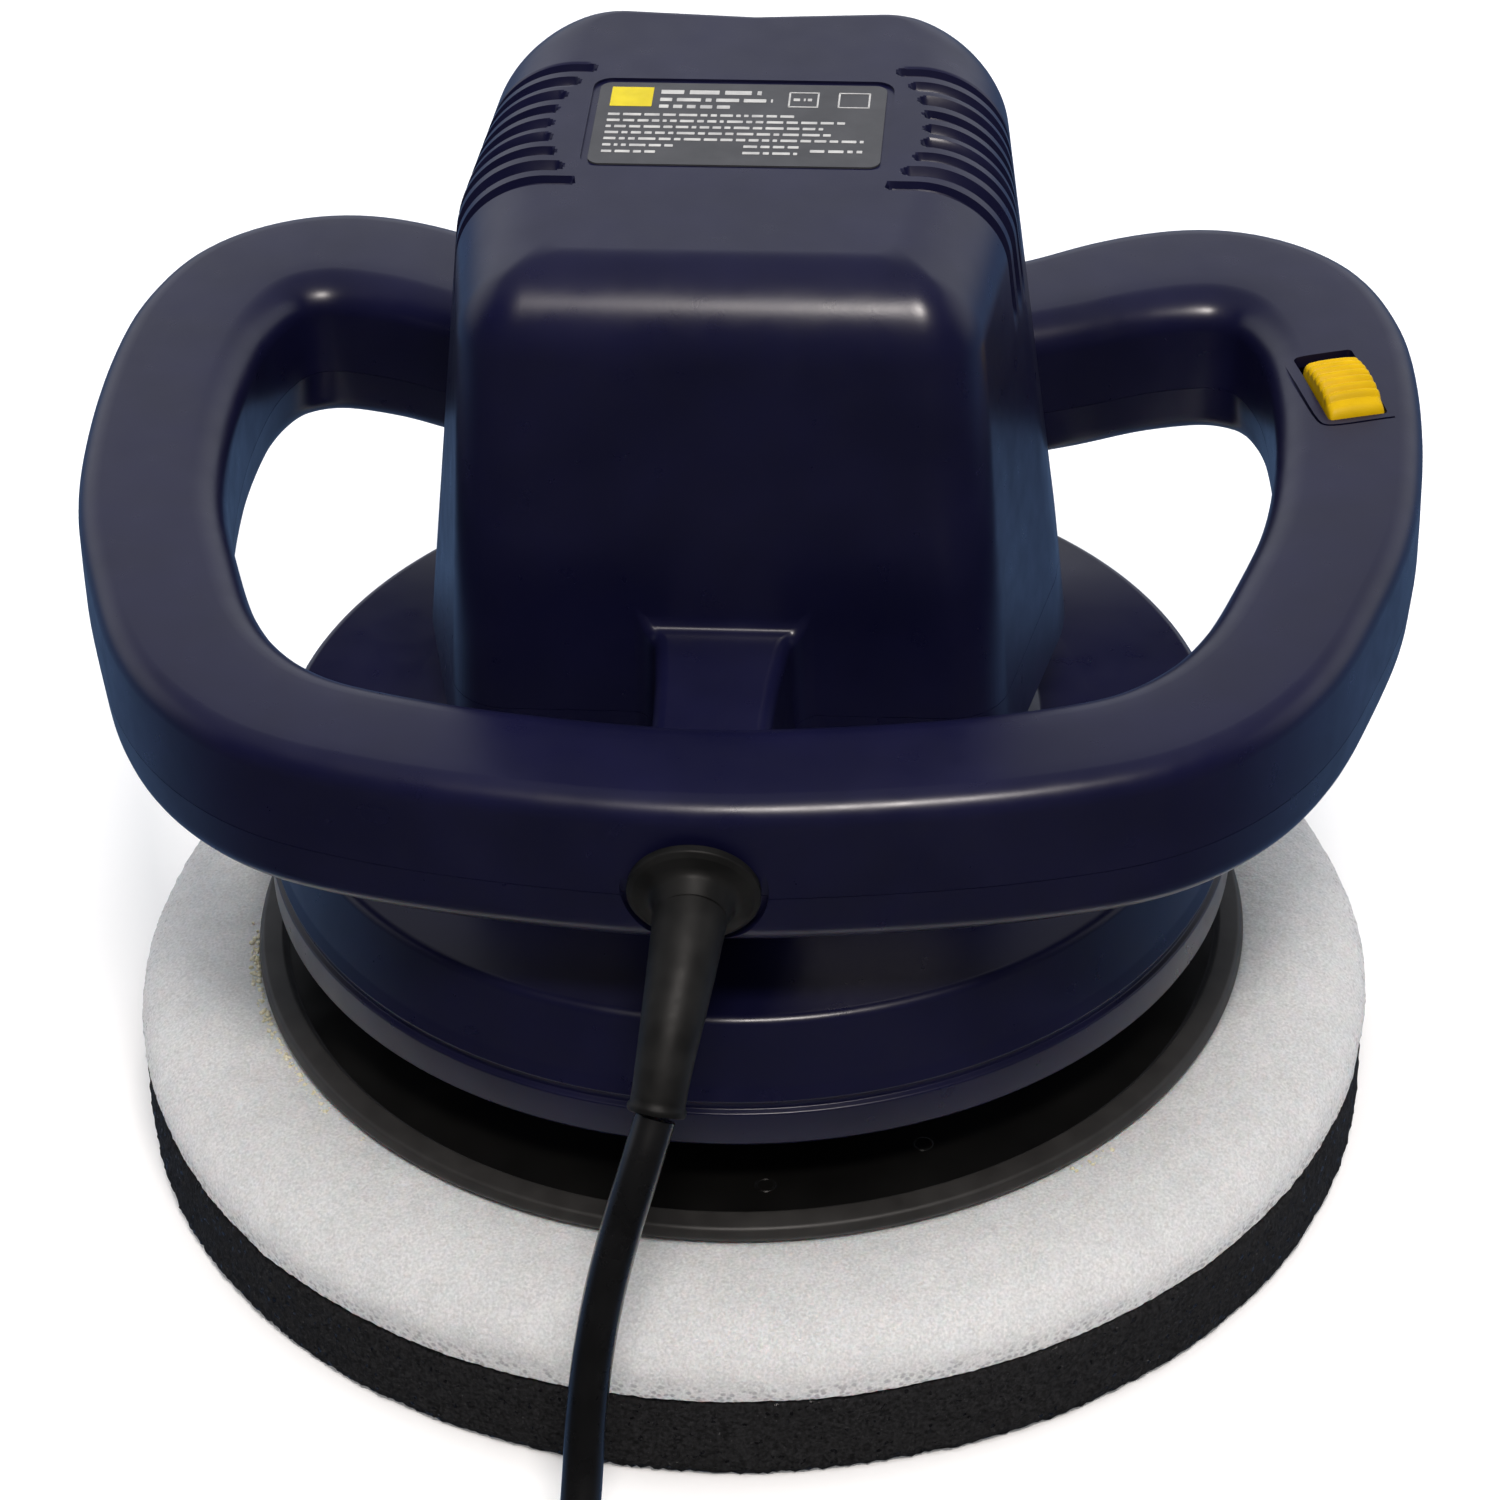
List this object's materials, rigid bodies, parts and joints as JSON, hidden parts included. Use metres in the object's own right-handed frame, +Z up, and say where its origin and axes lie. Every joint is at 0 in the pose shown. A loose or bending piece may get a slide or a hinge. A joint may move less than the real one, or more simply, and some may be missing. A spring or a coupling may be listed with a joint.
{
  "type": "rotary polisher",
  "caption": "Two-handed orbital polisher: a round foam pad on an eccentric drive, a domed guard, a box-shaped motor cover, a closed handle ring, a slide switch and a cord.",
  "frame": {"origin": "centre of the underside of the foam pad, on the floor", "axes": "+Z up along the motor, -Y towards the cord and the front of the handle ring, +X towards the side with the switch"},
  "size_m": [0.3064, 0.3933, 0.2005],
  "materials": {
    "navy_housing": "fine spark-textured moulded ABS, dark navy",
    "label_face": null,
    "dark_rubber": "smooth moulded rubber",
    "black_plastic": "moulded nylon",
    "plate_plastic": "glossy black moulded plastic",
    "copper_winding": "varnished copper wire",
    "copper_bars": "turned copper bars",
    "carbon": "graphite",
    "cast_aluminium": "die-cast",
    "lamination_steel": "stacked sheet",
    "cast_zinc": "die-cast zinc alloy",
    "bright_steel": "ground",
    "lead_insulation": "pvc insulated lead",
    "cord_jacket": "smooth black vinyl",
    "plug_vinyl": "moulded black vinyl",
    "plated_brass": "nickel plated",
    "white_foam": "closed-cell foam, fine pores",
    "black_foam": "open-cell foam, coarse pores",
    "yellow_plastic": "ribbed moulded plastic"
  },
  "bodies": {
    "housing": {"upper_housing": "navy_housing", "lower_housing": "navy_housing", "label_plate": "label_face", "strain_relief": "dark_rubber", "switch_body": "black_plastic", "stator_core": "lamination_steel", "field_coil_front": "copper_winding", "field_coil_back": "copper_winding", "upper_end_frame": "cast_aluminium", "lower_end_frame": "cast_aluminium", "upper_bearing_outer": "bright_steel", "lower_bearing_outer": "bright_steel", "brush_holder_left": "black_plastic", "carbon_brush_left": "carbon", "brush_spring_left": "bright_steel", "brush_holder_right": "black_plastic", "carbon_brush_right": "carbon", "brush_spring_right": "bright_steel", "housing_screw_1": "bright_steel", "housing_screw_2": "bright_steel", "housing_screw_3": "bright_steel", "housing_screw_4": "bright_steel", "housing_screw_5": "bright_steel", "housing_screw_6": "bright_steel", "lead_to_switch": "lead_insulation", "lead_switch_to_brush": "lead_insulation", "lead_to_field": "lead_insulation", "power_cord": "cord_jacket", "cord_coil": "cord_jacket", "cord_tail": "cord_jacket", "plug_body": "plug_vinyl", "plug_blade_left": "plated_brass", "plug_blade_right": "plated_brass"},
    "rotor": {"shaft": "bright_steel", "armature_core": "lamination_steel", "winding_upper": "copper_winding", "winding_lower": "copper_winding", "commutator": "copper_bars", "cooling_fan": "black_plastic", "upper_bearing_inner": "bright_steel", "lower_bearing_inner": "bright_steel", "eccentric_weight": "cast_zinc", "pad_bearing_inner": "bright_steel", "pad_washer": "bright_steel", "pad_bolt": "bright_steel"},
    "pad": {"backing_plate": "plate_plastic", "pad_bearing_outer": "bright_steel", "bearing_circlip": "bright_steel", "foam_upper": "white_foam", "foam_lower": "black_foam"},
    "switch": {"switch_knob": "yellow_plastic"}
  },
  "joints": [
    {"name": "motor_spin", "type": "hinge", "parent": "housing", "child": "rotor", "pos_m": [0, 0.0055, 0.1], "axis": [0, 0, 1], "continuous": true},
    {"name": "pad_spin", "type": "hinge", "parent": "rotor", "child": "pad", "pos_m": [0, 0, 0.05], "axis": [0, 0, 1], "continuous": true},
    {"name": "switch_slide", "type": "slide", "parent": "housing", "child": "switch", "axis": [-0.2807, 0.9598, 0], "range_m": [0, 0.0045]}
  ]
}
